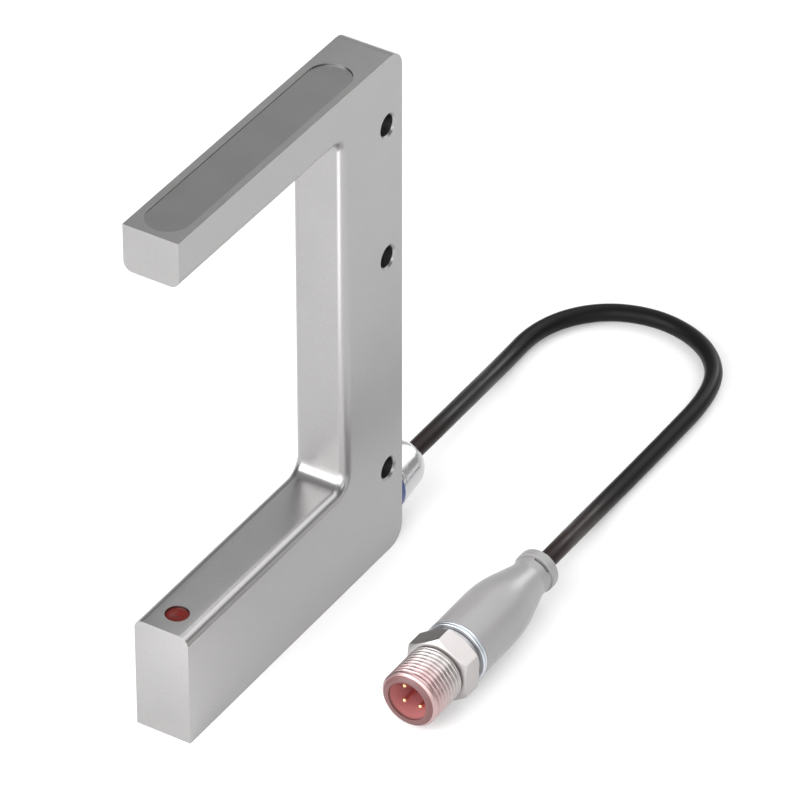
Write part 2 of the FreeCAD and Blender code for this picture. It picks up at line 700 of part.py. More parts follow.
def make_retaining_ring():
    """The bright ring between the screw and the grip, with a chamfer on each outer edge."""
    radius = RING_DIAMETER / 2
    return plug_turned(
        [
            (RING_START, CARRIER_TAIL_RADIUS + GLAND_GAP),
            (RING_START, radius - RING_CHAMFER),
            (RING_START + RING_CHAMFER, radius),
            (GRIP_START - RING_CHAMFER, radius),
            (GRIP_START, radius - RING_CHAMFER),
            (GRIP_START, CARRIER_TAIL_RADIUS + GLAND_GAP),
        ]
    )


def make_plug_grip():
    """The moulded grip: a cylinder, a long shoulder into a cone, a neck and a collar."""
    grip_radius = GRIP_DIAMETER / 2
    neck_radius = NECK_DIAMETER / 2
    collar_start = GRIP_END - COLLAR_LENGTH
    neck_start = collar_start - NECK_LENGTH
    cone_start = neck_start - GRIP_CONE_LENGTH
    collar_radius = COLLAR_DIAMETER / 2
    body = plug_turned(
        [
            (GRIP_START, 0),
            (GRIP_START, grip_radius - GRIP_FRONT_CHAMFER),
            (GRIP_START + GRIP_FRONT_CHAMFER, grip_radius),
            (cone_start, grip_radius),
            (neck_start, neck_radius),
            (collar_start, neck_radius),
            (collar_start, collar_radius - COLLAR_FRONT_CHAMFER),
            (collar_start + COLLAR_FRONT_CHAMFER, collar_radius),
            (GRIP_END - COLLAR_REAR_CHAMFER, collar_radius),
            (GRIP_END, collar_radius - COLLAR_REAR_CHAMFER),
            (GRIP_END, 0),
        ]
    )
    body = body.makeFillet(GRIP_SHOULDER_RADIUS, rims(body, cone_start, GRIP_DIAMETER))
    carrier_room = plug_turned(
        [
            (GRIP_START, 0),
            (GRIP_START, CARRIER_TAIL_RADIUS + GLAND_GAP),
            (GRIP_START + CARRIER_TAIL, CARRIER_TAIL_RADIUS + GLAND_GAP),
            (GRIP_START + CARRIER_TAIL, 0),
        ]
    )
    cable_seat = bar_along_y(
        PASSAGE_RADIUS, PLUG_REAR_Y - CABLE_SEAT_DEPTH, PLUG_REAR_Y, PLUG_X, PLUG_Z
    )
    return body.cut([carrier_room, cable_seat])


def make_parts():
    """Every piece of the sensor, by name."""
    parts = {
        "housing": make_housing(),
        "top_cover": make_cover(HOUSING_HEIGHT, -1),
        "bottom_cover": make_cover(0, 1),
        "emitter_lens": make_lens(LOWER_ARM_HEIGHT, -1),
        "emitter_holder": make_emitter_holder(),
        "emitter_led": make_emitter_led(),
        "receiver_lens": make_lens(WINDOW_TOP, 1),
        "receiver_photodiode": make_receiver_photodiode(),
        "receiver_board": make_receiver_board(),
        "receiver_chip": make_receiver_chip(),
        "main_board": make_main_board(),
        "amplifier_chip": chip(AMPLIFIER_SIZE, AMPLIFIER_FROM_BEAM, CHIP_HEIGHT),
        "driver_chip": chip(DRIVER_SIZE, DRIVER_FROM_BEAM, CHIP_HEIGHT),
        "filter_capacitors": make_filter_capacitors(),
        "link_wires": make_link_wires(),
        "gland_body": make_gland_body(),
        "seal_ring": make_seal_ring(),
        "gland_cap": make_gland_cap(),
        "cable_grommet": make_cable_grommet(),
        "cable": make_cable(),
        "cable_cores": make_cable_cores(),
        "coupling_screw": make_coupling_screw(),
        "contact_carrier": make_contact_carrier(),
        "retaining_ring": make_retaining_ring(),
        "plug_grip": make_plug_grip(),
    }
    for number, (x, z) in enumerate(pin_places(), start=1):
        parts["contact_pin_" + str(number)] = make_contact_pin(x, z)
    return parts


os.makedirs("parts", exist_ok=True)
for node, shape in make_parts().items():
    shape.exportStep("parts/" + node + ".step")
    print(node, "solids", len(shape.Solids), "volume", round(shape.Volume, 2), "valid", shape.isValid())
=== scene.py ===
import logging
import math
from dataclasses import dataclass, field
from enum import Enum
from typing import Dict, Optional, Sequence, Tuple, Union

import bpy
import numpy as np
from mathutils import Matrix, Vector


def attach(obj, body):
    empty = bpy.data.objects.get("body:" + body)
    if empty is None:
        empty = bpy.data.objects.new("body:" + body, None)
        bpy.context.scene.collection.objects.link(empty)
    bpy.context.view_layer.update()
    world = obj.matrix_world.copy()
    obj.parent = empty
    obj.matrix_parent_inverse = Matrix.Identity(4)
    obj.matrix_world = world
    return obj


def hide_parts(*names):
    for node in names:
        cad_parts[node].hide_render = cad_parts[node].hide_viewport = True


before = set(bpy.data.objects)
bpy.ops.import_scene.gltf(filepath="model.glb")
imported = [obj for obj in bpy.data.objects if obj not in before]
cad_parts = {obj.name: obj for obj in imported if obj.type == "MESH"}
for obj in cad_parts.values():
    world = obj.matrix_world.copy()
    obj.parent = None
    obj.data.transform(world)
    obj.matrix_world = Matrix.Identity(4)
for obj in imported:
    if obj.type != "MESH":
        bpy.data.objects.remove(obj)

LOG = logging.getLogger("fork_sensor")
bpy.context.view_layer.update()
MM = 0.001
MOTTLING_OVER_GRAIN = 40.0
SAME_PLACE = 1e-6
POLE_SIZE = 1e-9

Colour = Tuple[float, float, float]
Point = Tuple[float, float, float]
Output = bpy.types.NodeSocket
Value = Union[float, Output]


# Shared surface effects


class Grain(Enum):
    """What a surface's fine relief follows: an even grain or the rings of a turning tool."""

    EVEN = "even"
    TURNED = "turned"


def new_group(
    name: str, inputs: Sequence[Tuple[str, str, float]], outputs: Sequence[Tuple[str, str]]
) -> Tuple[bpy.types.NodeTree, bool]:
    """An empty shader node group with named sockets, or the one that is there already.

    Args:
        name: the group's name.
        inputs: name, socket type and default of each input.
        outputs: name and socket type of each output.

    Returns:
        The group, and whether it is new and still has to be filled.
    """
    found = bpy.data.node_groups.get(name)
    if found is not None:
        return found, False
    group = bpy.data.node_groups.new(name, "ShaderNodeTree")
    for label, kind, default in inputs:
        socket = group.interface.new_socket(name=label, in_out="INPUT", socket_type=kind)
        if kind == "NodeSocketFloat":
            socket.default_value = default
    for label, kind in outputs:
        group.interface.new_socket(name=label, in_out="OUTPUT", socket_type=kind)
    return group, True


class Wiring:
    """Shorthands for placing and joining shader nodes in one node tree."""

    def __init__(self, tree: bpy.types.NodeTree) -> None:
        """Starts work on a node tree."""
        self.tree = tree

    def node(self, kind: str, **settings: object) -> bpy.types.Node:
        """Places a node.

        Args:
            kind: the node's type.
            settings: properties to set on it.

        Returns:
            The node.
        """
        made = self.tree.nodes.new(kind)
        for key, value in settings.items():
            setattr(made, key, value)
        return made

    def join(self, source: Output, target: Output) -> None:
        """Links an output to an input."""
        self.tree.links.new(source, target)

    def feed(self, socket: Output, value: Union[Value, Sequence[float]]) -> None:
        """Puts a value into a socket.

        Args:
            socket: the input to fill.
            value: a number, a colour or another node's output.
        """
        if isinstance(value, bpy.types.NodeSocket):
            self.join(value, socket)
        else:
            socket.default_value = value

    def math(self, operation: str, first: Value, second: Value, clamp: bool = False) -> Output:
        """A Math node's result.

        Args:
            operation: the node's operation.
            first: its first value, a number or an output.
            second: its second value, a number or an output.
            clamp: whether the result stays between 0 and 1.

        Returns:
            The node's output.
        """
        made = self.node("ShaderNodeMath", operation=operation, use_clamp=clamp)
        self.feed(made.inputs[0], first)
        self.feed(made.inputs[1], second)
        return made.outputs[0]

    def ramp(
        self, value: Output, low: float, high: float, to_low: float = 0.0, to_high: float = 1.0
    ) -> Output:
        """A value carried smoothly from one range to another.

        Args:
            value: the output to read.
            low: where the change starts.
            high: where it ends.
            to_low: the result at and before low.
            to_high: the result at and after high.

        Returns:
            The Map Range node's output.
        """
        made = self.node("ShaderNodeMapRange", interpolation_type="SMOOTHSTEP")
        self.feed(made.inputs["Value"], value)
        made.inputs["From Min"].default_value = low
        made.inputs["From Max"].default_value = high
        made.inputs["To Min"].default_value = to_low
        made.inputs["To Max"].default_value = to_high
        return made.outputs["Result"]

    def blend(self, mask: Output, first: Colour, second: Colour) -> Output:
        """Two colours mixed by a mask.

        Args:
            mask: 0 for the first colour, 1 for the second.
            first: the first colour.
            second: the second colour.

        Returns:
            The mixed colour's output.
        """
        made = self.node("ShaderNodeMix", data_type="RGBA")
        self.feed(made.inputs[0], mask)
        made.inputs[6].default_value = (*first, 1.0)
        made.inputs[7].default_value = (*second, 1.0)
        return made.outputs[2]

    def group(self, tree: bpy.types.NodeTree, **values: Value) -> bpy.types.Node:
        """Places a node group and fills its inputs.

        Args:
            tree: the group.
            values: input names, with _ for a space, and what they get.

        Returns:
            The group's node.
        """
        made = self.node("ShaderNodeGroup", node_tree=tree)
        for key, value in values.items():
            self.feed(made.inputs[key.replace("_", " ")], value)
        return made


def fine_grain_group() -> bpy.types.NodeTree:
    """Grain of one size with slow mottling over it.

    Grain is noise of the place divided by the grain size. Mottling is noise forty times coarser.

    Returns:
        The group.
    """
    group, new = new_group(
        "fine_grain",
        [("Place", "NodeSocketVector", 0.0), ("Grain Size", "NodeSocketFloat", 0.0002)],
        [("Grain", "NodeSocketFloat"), ("Mottling", "NodeSocketFloat")],
    )
    if new:
        work = Wiring(group)
        source = work.node("NodeGroupInput")
        result = work.node("NodeGroupOutput")
        scale = work.math("DIVIDE", 1.0, source.outputs["Grain Size"])
        fine = work.node("ShaderNodeTexNoise")
        work.join(source.outputs["Place"], fine.inputs["Vector"])
        work.join(scale, fine.inputs["Scale"])
        fine.inputs["Detail"].default_value = 2.0
        fine.inputs["Roughness"].default_value = 0.6
        slow = work.node("ShaderNodeTexNoise")
        work.join(source.outputs["Place"], slow.inputs["Vector"])
        work.join(work.math("DIVIDE", scale, MOTTLING_OVER_GRAIN), slow.inputs["Scale"])
        slow.inputs["Detail"].default_value = 3.0
        work.join(work.ramp(fine.outputs["Fac"], 0.25, 0.75), result.inputs["Grain"])
        work.join(work.ramp(slow.outputs["Fac"], 0.3, 0.7), result.inputs["Mottling"])
    return group


def lathe_marks_group() -> bpy.types.NodeTree:
    """Fine rings left by a turning tool: noise along the axis alone, so it is the same all round.

    Returns:
        The group.
    """
    group, new = new_group(
        "lathe_marks",
        [("Place", "NodeSocketVector", 0.0), ("Feed", "NodeSocketFloat", 0.0001)],
        [("Rings", "NodeSocketFloat")],
    )
    if new:
        work = Wiring(group)
        source = work.node("NodeGroupInput")
        result = work.node("NodeGroupOutput")
        split = work.node("ShaderNodeSeparateXYZ")
        work.join(source.outputs["Place"], split.inputs[0])
        rings = work.node("ShaderNodeTexNoise", noise_dimensions="1D")
        work.join(work.math("DIVIDE", split.outputs["Y"], source.outputs["Feed"]), rings.inputs["W"])
        rings.inputs["Scale"].default_value = 1.0
        rings.inputs["Detail"].default_value = 2.0
        work.join(work.ramp(rings.outputs["Fac"], 0.2, 0.8), result.inputs["Rings"])
    return group


# Finishes


@dataclass(frozen=True)
class Finish:
    """A surface finish: colour, gloss, fine relief and its slow changes over the piece."""

    name: str
    colour: Colour
    roughness: float
    metallic: float = 0.0
    grain: Grain = Grain.EVEN
    grain_size: float = 0.0002
    grain_depth: float = 0.0
    grain_contrast: float = 0.0
    mottling: float = 0.03
    roughness_spread: float = 0.04
    specular: float = 0.5
    transmission: float = 0.0
    tip_colour: Optional[Colour] = None
    tip_from: float = 0.0
    tip_to: float = 0.0

    def relief(self, work: Wiring, place: Output, grain: Output) -> Output:
        """The height that the finish's bump follows.

        Args:
            work: the material's wiring.
            place: the Object coordinates' output.
            grain: the fine grain's output.

        Returns:
            The output that holds the height, 0 to 1.
        """
        if self.grain is Grain.TURNED:
            marks = work.group(lathe_marks_group(), Place=place, Feed=self.grain_size)
            return marks.outputs["Rings"]
        return grain

    def material(self) -> bpy.types.Material:
        """The finish as a material, made once.

        Returns:
            The material.
        """
        found = bpy.data.materials.get(self.name)
        if found is not None:
            return found
        made = bpy.data.materials.new(self.name)
        made.use_nodes = True
        tree = made.node_tree
        tree.nodes.clear()
        work = Wiring(tree)
        out = work.node("ShaderNodeOutputMaterial")
        shader = work.node("ShaderNodeBsdfPrincipled")
        work.join(shader.outputs[0], out.inputs["Surface"])
        place = work.node("ShaderNodeTexCoord").outputs["Object"]
        surface = work.group(fine_grain_group(), Place=place, Grain_Size=self.grain_size)
        grain, mottle = surface.outputs["Grain"], surface.outputs["Mottling"]
        speckle = work.node("ShaderNodeMix", data_type="RGBA", blend_type="MULTIPLY")
        speckle.inputs[0].default_value = 1.0
        work.join(self.tone(work, place, mottle), speckle.inputs[6])
        shade = work.ramp(grain, 0.0, 1.0, 1.0 - self.grain_contrast, 1.0 + self.grain_contrast)
        joined = work.node("ShaderNodeCombineColor")
        for channel in joined.inputs:
            work.join(shade, channel)
        work.join(joined.outputs[0], speckle.inputs[7])
        work.join(speckle.outputs[2], shader.inputs["Base Color"])
        spread = self.roughness_spread
        rough = work.ramp(mottle, 0.0, 1.0, self.roughness - spread, self.roughness + spread)
        work.join(rough, shader.inputs["Roughness"])
        if self.grain_depth > 0:
            bump = work.node("ShaderNodeBump")
            bump.inputs["Strength"].default_value = 1.0
            bump.inputs["Distance"].default_value = self.grain_depth
            work.join(self.relief(work, place, grain), bump.inputs["Height"])
            work.join(bump.outputs["Normal"], shader.inputs["Normal"])
        shader.inputs["Metallic"].default_value = self.metallic
        shader.inputs["Specular IOR Level"].default_value = self.specular
        shader.inputs["Transmission Weight"].default_value = self.transmission
        return made

    def tone(self, work: Wiring, place: Output, mottle: Output) -> Output:
        """The colour, mottled, or changing along Y from the tip's colour to the finish's own.

        Args:
            work: the material's wiring.
            place: the Object coordinates' output.
            mottle: the mottling's output.

        Returns:
            The colour's output.
        """
        if self.tip_colour is None:
            light = tuple(min(1.0, c * (1 + self.mottling)) for c in self.colour)
            dark = tuple(c * (1 - self.mottling) for c in self.colour)
            return work.blend(mottle, dark, light)
        # Along Y the tip colour is the gold's own on the pins, a painted pink reflection on the screw
        # and painted shade on the insert's rim; on the cable it is a redder tone near the ends.
        split = work.node("ShaderNodeSeparateXYZ")
        work.join(place, split.inputs[0])
        mask = work.ramp(split.outputs["Y"], self.tip_from, self.tip_to)
        return work.blend(mask, self.tip_colour, self.colour)


HOUSING_METAL = Finish(
    name="blasted_aluminium",
    colour=(0.366, 0.360, 0.360),
    roughness=0.305,
    metallic=1.0,
    grain_size=0.00022,
    grain_depth=0.000005,
    grain_contrast=0.04,
    mottling=0.012,
    roughness_spread=0.008,
)
COVER_PLATE = Finish(
    name="blasted_plate",
    colour=(0.285, 0.285, 0.285),
    roughness=0.31,
    metallic=1.0,
    grain_size=0.00018,
    grain_depth=0.000004,
    grain_contrast=0.03,
    mottling=0.012,
    roughness_spread=0.008,
)
BRIGHT_METAL = Finish(
    name="turned_nickel",
    colour=(0.56, 0.56, 0.57),
    roughness=0.22,
    metallic=1.0,
    grain=Grain.TURNED,
    grain_size=0.00006,
    grain_depth=0.0000008,
)
RING_METAL = Finish(
    name="ring_nickel",
    colour=(0.60, 0.63, 0.67),
    roughness=0.34,
    metallic=1.0,
    grain=Grain.TURNED,
    grain_size=0.00006,
    grain_depth=0.0000008,
)
# Screw nickel: its tip colour is a painted pink reflection, strongest at the screw's front and gone
# before the hexagon.
NICKEL_METAL = Finish(
    name="nickel_painted_pink_reflection",
    colour=(0.445, 0.425, 0.42),
    roughness=0.38,
    metallic=1.0,
    grain_size=0.00015,
    grain_depth=0.000002,
    grain_contrast=0.02,
    tip_colour=(0.47, 0.33, 0.33),
    tip_from=-0.0127,
    tip_to=-0.0030,
)
# Gold pins: the tip colour is the gold's own; the shaft colour is a painted red reflection of the insert
# around them.
GOLD_CONTACT = Finish(
    name="gold_tips_painted_red_shafts",
    colour=(0.85, 0.46, 0.42),
    roughness=0.34,
    metallic=1.0,
    grain=Grain.TURNED,
    grain_size=0.00005,
    grain_depth=0.0000005,
    tip_colour=(0.92, 0.62, 0.32),
    tip_from=-0.0113,
    tip_to=-0.0108,
)
BLUE_RING = Finish(
    name="blue_plastic",
    colour=(0.030, 0.050, 0.20),
    roughness=0.4,
    grain_depth=0.000002,
    grain_contrast=0.03,
)
# Red insert: its tip colour is painted shade that darkens the front rim and the socket's mouth.
RED_CARRIER = Finish(
    name="red_plastic",
    colour=(0.47, 0.175, 0.175),
    roughness=0.45,
    grain_depth=0.000002,
    grain_contrast=0.03,
    tip_colour=(0.13, 0.055, 0.055),
    tip_from=-0.0129,
    tip_to=-0.0122,
)
GRIP_GREY = Finish(
    name="grey_grip",
    colour=(0.305, 0.298, 0.302),
    roughness=0.30,
    grain_size=0.00016,
    grain_depth=0.000004,
    grain_contrast=0.02,
    mottling=0.005,
    roughness_spread=0.005,
)
CABLE_JACKET = Finish(
    name="black_jacket",
    colour=(0.008, 0.008, 0.008),
    roughness=0.34,
    grain_size=0.0003,
    grain_depth=0.000006,
    grain_contrast=0.06,
    specular=0.11,
    tip_colour=(0.018, 0.010, 0.009),
    tip_from=0.045,
    tip_to=0.075,
)
RED_LENS = Finish(
    name="red_glass",
    colour=(0.12, 0.014, 0.011),
    roughness=0.22,
    grain_size=0.0003,
    specular=0.12,
)
HOLDER_PLASTIC = Finish(
    name="black_holder", colour=(0.03, 0.03, 0.03), roughness=0.6, grain_depth=0.000003
)
LED_RESIN = Finish(
    name="clear_resin", colour=(0.75, 0.74, 0.72), roughness=0.1, transmission=0.6
)
CHIP_PLASTIC = Finish(
    name="black_chip",
    colour=(0.03, 0.03, 0.035),
    roughness=0.55,
    grain_size=0.0001,
    grain_depth=0.000002,
)
CIRCUIT_BOARD = Finish(
    name="green_board",
    colour=(0.02, 0.14, 0.06),
    roughness=0.4,
    grain_size=0.0004,
    grain_depth=0.000004,
    grain_contrast=0.1,
)
CERAMIC = Finish(
    name="tan_ceramic", colour=(0.42, 0.33, 0.2), roughness=0.45, grain_depth=0.000002
)
WIRE_JACKET = Finish(
    name="wire_plastic", colour=(0.05, 0.05, 0.06), roughness=0.4, grain_depth=0.000002
)
BLACK_RUBBER = Finish(
    name="soft_rubber", colour=(0.02, 0.02, 0.02), roughness=0.65, grain_depth=0.000004
)


# Turned and wrapped surfaces


@dataclass(frozen=True)
class Axis:
    """The axis that a piece is turned about: where it starts and which way it runs."""

    origin: Point
    along: Point
    across: Point = (1.0, 0.0, 0.0)

    def around(self, back: np.ndarray, radius: np.ndarray, angle: np.ndarray) -> np.ndarray:
        """Places on and around the axis.

        A place is the origin, plus its distance along the axis, plus its radius turned by its
        angle from the across direction.

        Args:
            back: distances along the axis, in mm.
            radius: distances from it, in mm.
            angle: angles round it, in radians.

        Returns:
            The places in metres, with a last dimension of three.
        """
        along = np.array(self.along, float)
        across = np.array(self.across, float)
        up = np.cross(across, along)
        radial = np.cos(angle)[..., None] * across + np.sin(angle)[..., None] * up
        places = np.array(self.origin) + back[..., None] * along + radius[..., None] * radial
        return places * MM


PLUG_AXIS = Axis((38.8, -12.7, 13 / math.sqrt(3) + 0.04), (0.0, 1.0, 0.0))
GLAND_AXIS = Axis((0.0, 0.0, 9.65), (0.0, 1.0, 0.0))


def outline_of(corners: Sequence[Point], steps: int = 5) -> np.ndarray:
    """An outline through corners, each rounded by an arc that is tangent to its two sides.

    The arc starts and ends at radius times the tangent of half the turn from the corner. Its
    points divide the turn evenly.

    Args:
        corners: (back, radius, rounding) of each corner in mm; the first and last stay sharp.
        steps: how many parts each arc has.

    Returns:
        The outline's points, (count, 2).
    """
    places = np.array([c[:2] for c in corners], float)
    points = [places[0][None]]
    for index in range(1, len(corners) - 1):
        rounding = corners[index][2]
        corner = places[index]
        if rounding <= 0:
            points.append(corner[None])
            continue
        into = corner - places[index - 1]
        out = places[index + 1] - corner
        into /= np.linalg.norm(into)
        out /= np.linalg.norm(out)
        turn = math.acos(float(np.clip(into @ out, -1, 1)))
        side = np.sign(into[0] * out[1] - into[1] * out[0])
        start = corner - into * rounding * math.tan(turn / 2)
        normal = side * np.array([-into[1], into[0]])
        centre = start + rounding * normal
        angles = side * np.linspace(0, turn, steps + 1)
        spoke = start - centre
        turned = np.stack(
            [
                spoke[0] * np.cos(angles) - spoke[1] * np.sin(angles),
                spoke[0] * np.sin(angles) + spoke[1] * np.cos(angles),
            ],
            axis=1,
        )
        points.append(centre + turned)
    points.append(places[-1][None])
    return np.concatenate(points)


def grid_faces(rows: int, columns: int, rows_closed: bool) -> np.ndarray:
    """The quads of a grid of points whose columns close on themselves.

    Args:
        rows: how many rows of points.
        columns: how many points in each row.
        rows_closed: whether the last row joins the first.

    Returns:
        The corner numbers of each quad, (count, 4).
    """
    numbers = np.arange(rows * columns).reshape(rows, columns)
    below = np.roll(numbers, -1, axis=0) if rows_closed else numbers[1:]
    above = numbers if rows_closed else numbers[:-1]
    quads = [above, np.roll(above, -1, axis=1), np.roll(below, -1, axis=1), below]
    return np.stack(quads, axis=-1).reshape(-1, 4)


def enclosed_volume(places: np.ndarray, triangles: np.ndarray) -> float:
    """The volume that triangles enclose: a sixth of the sum of their corners' triple products.

    Args:
        places: the points.
        triangles: the corner numbers.

    Returns:
        The volume, negative where the faces point inwards.
    """
    a, b, c = (places[triangles[:, k]] for k in range(3))
    return float(np.einsum("ij,ij->i", a, np.cross(b, c)).sum() / 6)


def object_of(
    name: str, places: np.ndarray, faces: Sequence[Sequence[int]], crease: float = 32.0
) -> bpy.types.Object:
    """A smooth-shaded object whose edges sharper than the crease angle stay crisp.

    Args:
        name: the object's name.
        places: its points in metres, (count, 3).
        faces: the corner numbers of each face.
        crease: the angle in degrees.

    Returns:
        The object, linked into the scene.
    """
    mesh = bpy.data.meshes.new(name)
    mesh.from_pydata(places.tolist(), [], faces)
    mesh.validate()
    mesh.shade_smooth()
    mesh.set_sharp_from_angle(angle=math.radians(crease))
    made = bpy.data.objects.new(name, mesh)
    bpy.context.scene.collection.objects.link(made)
    return made


def wrapped_object(name: str, grid: np.ndarray, crease: float = 32.0) -> bpy.types.Object:
    """A closed surface from a grid of points that goes round an axis.

    Rows that shrink to a point on the axis at both ends become poles. Otherwise the last row
    joins the first, as on a ring. Faces are turned to point outwards.

    Args:
        name: the object's name.
        grid: the points in metres, (rows, columns, 3).
        crease: the angle in degrees above which an edge is crisp.

    Returns:
        The object.
    """
    rows, columns = grid.shape[:2]
    poled = np.ptp(grid[0], axis=0).max() < POLE_SIZE
    body = grid[1:-1] if poled else grid
    places = body.reshape(-1, 3)
    quads = grid_faces(body.shape[0], columns, not poled)
    faces = [quads]
    if poled:
        first, last = len(places), len(places) + 1
        places = np.concatenate([places, grid[0][:1], grid[-1][:1]])
        ring = np.arange(columns)
        after = np.roll(ring, -1)
        end = (body.shape[0] - 1) * columns
        faces.append(np.stack([after, ring, np.full(columns, first)], axis=1))
        faces.append(np.stack([end + ring, end + after, np.full(columns, last)], axis=1))
    halves = [quads[:, [0, 1, 2]], quads[:, [0, 2, 3]]] + faces[1:]
    if enclosed_volume(places, np.concatenate(halves)) < 0:
        faces = [part[:, ::-1] for part in faces]
    return object_of(name, places, [row for part in faces for row in part.tolist()], crease)


def turned_grid(outline: np.ndarray, columns: int) -> Tuple[np.ndarray, np.ndarray, np.ndarray]:
    """An outline carried once round an axis, in even steps.

    Args:
        outline: (back, radius) points in mm.
        columns: how many steps round the axis.

    Returns:
        The place along the axis, the radius and the angle of each point, each (rows, columns).
    """
    turn = np.linspace(0, 2 * math.pi, columns, endpoint=False)
    back = np.repeat(outline[:, :1], columns, axis=1)
    radius = np.repeat(outline[:, 1:], columns, axis=1)
    return back, radius, np.broadcast_to(turn, back.shape)


def turned_object(
    name: str, axis: Axis, outline: np.ndarray, columns: int = 96
) -> bpy.types.Object:
    """A piece turned about an axis: each outline point carried once round it.

    Args:
        name: the object's name.
        axis: the axis.
        outline: (back, radius) points in mm.
        columns: how many steps round the axis.

    Returns:
        The object.
    """
    return wrapped_object(name, axis.around(*turned_grid(outline, columns)))


def merged_copy(node: str, name: str, crease: float = 24.0) -> bpy.types.Object:
    """A copy of a CAD node with its loose triangles joined and its rounded faces shaded smooth.

    Points that round to the same multiple of SAME_PLACE become one, and triangles that lose a
    corner by it are left out.

    Args:
        node: the CAD node.
        name: the copy's name.
        crease: the angle in degrees above which an edge is crisp.

    Returns:
        The copy.
    """
    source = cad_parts[node].data
    places = np.empty(len(source.vertices) * 3, np.float32)
    source.vertices.foreach_get("co", places)
    corners = np.empty(len(source.loops), np.int32)
    source.loops.foreach_get("vertex_index", corners)
    keys = np.round(places.reshape(-1, 3) / SAME_PLACE).astype(np.int64)
    _, first, renumber = np.unique(keys, axis=0, return_index=True, return_inverse=True)
    triangles = renumber.reshape(-1)[corners].reshape(-1, 3)
    whole = (
        (triangles[:, 0] != triangles[:, 1])
        & (triangles[:, 1] != triangles[:, 2])
        & (triangles[:, 2] != triangles[:, 0])
    )
    made = object_of(name, places.reshape(-1, 3)[first], triangles[whole].tolist(), crease)
    smooth = made.modifiers.new("flat faces stay flat", "WEIGHTED_NORMAL")
    smooth.keep_sharp = True
    smooth.mode = "FACE_AREA_WITH_ANGLE"
    smooth.weight = 50
    return made


@dataclass
class Assembly:
    """A sub-assembly of the sensor: which CAD body it rides on and how its pieces are placed."""

    body: str = "sensor"

    def place(self, piece: bpy.types.Object, finish: Finish, slot: str, *nodes: str) -> None:
        """Dresses a new piece, makes it ride and lets it stand for its CAD nodes.

        Args:
            piece: the new piece.
            finish: its finish.
            slot: the record's material slot; not used.
            nodes: the CAD nodes that it replaces.
        """
        piece.data.materials.clear()
        piece.data.materials.append(finish.material())
        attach(piece, self.body)
        if nodes:
            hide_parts(*nodes)
        LOG.info("%s is placed on %s", piece.name, self.body)

    def dress(self, node: str, finish: Finish) -> None:
        """Gives a CAD node that stays in view its finish.

        Args:
            node: the CAD node.
            finish: its finish.
        """
        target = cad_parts[node]
        target.data.materials.clear()
        target.data.materials.append(finish.material())
        LOG.info("%s keeps its CAD shape", node)


# The sensor's parts


@dataclass
class Housing(Assembly):
    """The aluminium C-frame, its cover plates and its lenses."""

    lens_radius: float = 2.35
    lens_thickness: float = 1.6
    lens_recess: float = 0.4
    dimple_radius: float = 0.5
    dimple_depth: float = 0.15
    lens_rounding: float = 0.12
    lens_columns: int = 72
    dimple_rows: int = 8
    beam_y: float = -32.0
    emitter_face: float = 25.0
    receiver_face: float = 105.0

    def lens(self, name: str, face: float, inward: float) -> None:
        """A round window with a hollow dimple in the middle of its outer side.

        The dimple's depth falls from its full depth on the axis to nothing at its radius, as the
        square of the distance.

        Args:
            name: the lens's CAD node.
            face: the height of the arm's face in mm.
            inward: 1 where the arm is above the face, -1 where it is below.
        """
        reach = np.linspace(0, 1, self.dimple_rows)
        dimple = np.stack([self.dimple_depth * (1 - reach**2), self.dimple_radius * reach], axis=1)
        rim = outline_of(
            [
                (0.0, self.dimple_radius, 0.0),
                (0.0, self.lens_radius, self.lens_rounding),
                (self.lens_thickness, self.lens_radius, self.lens_rounding),
                (self.lens_thickness, 0.0, 0.0),
            ]
        )
        axis = Axis((0.0, self.beam_y, face + inward * self.lens_recess), (0.0, 0.0, inward))
        outline = np.concatenate([dimple, rim[1:]])
        piece = turned_object(name + "_window", axis, outline, self.lens_columns)
        self.place(piece, RED_LENS, "red_lens", name)

    def build(self) -> None:
        """Makes the housing, its plates and its lenses."""
        self.place(merged_copy("housing", "machined_housing"), HOUSING_METAL, "housing_metal", "housing")
        for node in ("top_cover", "bottom_cover"):
            piece = merged_copy(node, node + "_plate")
            self.place(piece, COVER_PLATE, "cover_plate", node)
        self.lens("emitter_lens", self.emitter_face, -1.0)
        self.lens("receiver_lens", self.receiver_face, 1.0)


@dataclass
class Electronics(Assembly):
    """What the housing holds: the light source, the detector, the boards and their wires."""

    finishes: Dict[str, Finish] = field(
        default_factory=lambda: {
            "emitter_holder": HOLDER_PLASTIC,
            "emitter_led": LED_RESIN,
            "receiver_photodiode": CHIP_PLASTIC,
            "receiver_board": CIRCUIT_BOARD,
            "receiver_chip": CHIP_PLASTIC,
            "main_board": CIRCUIT_BOARD,
            "amplifier_chip": CHIP_PLASTIC,
            "driver_chip": CHIP_PLASTIC,
            "filter_capacitors": CERAMIC,
            "link_wires": WIRE_JACKET,
            "cable_cores": WIRE_JACKET,
            "cable_grommet": BLACK_RUBBER,
        }
    )

    def build(self) -> None:
        """Dresses the inner pieces."""
        for node, finish in self.finishes.items():
            self.dress(node, finish)


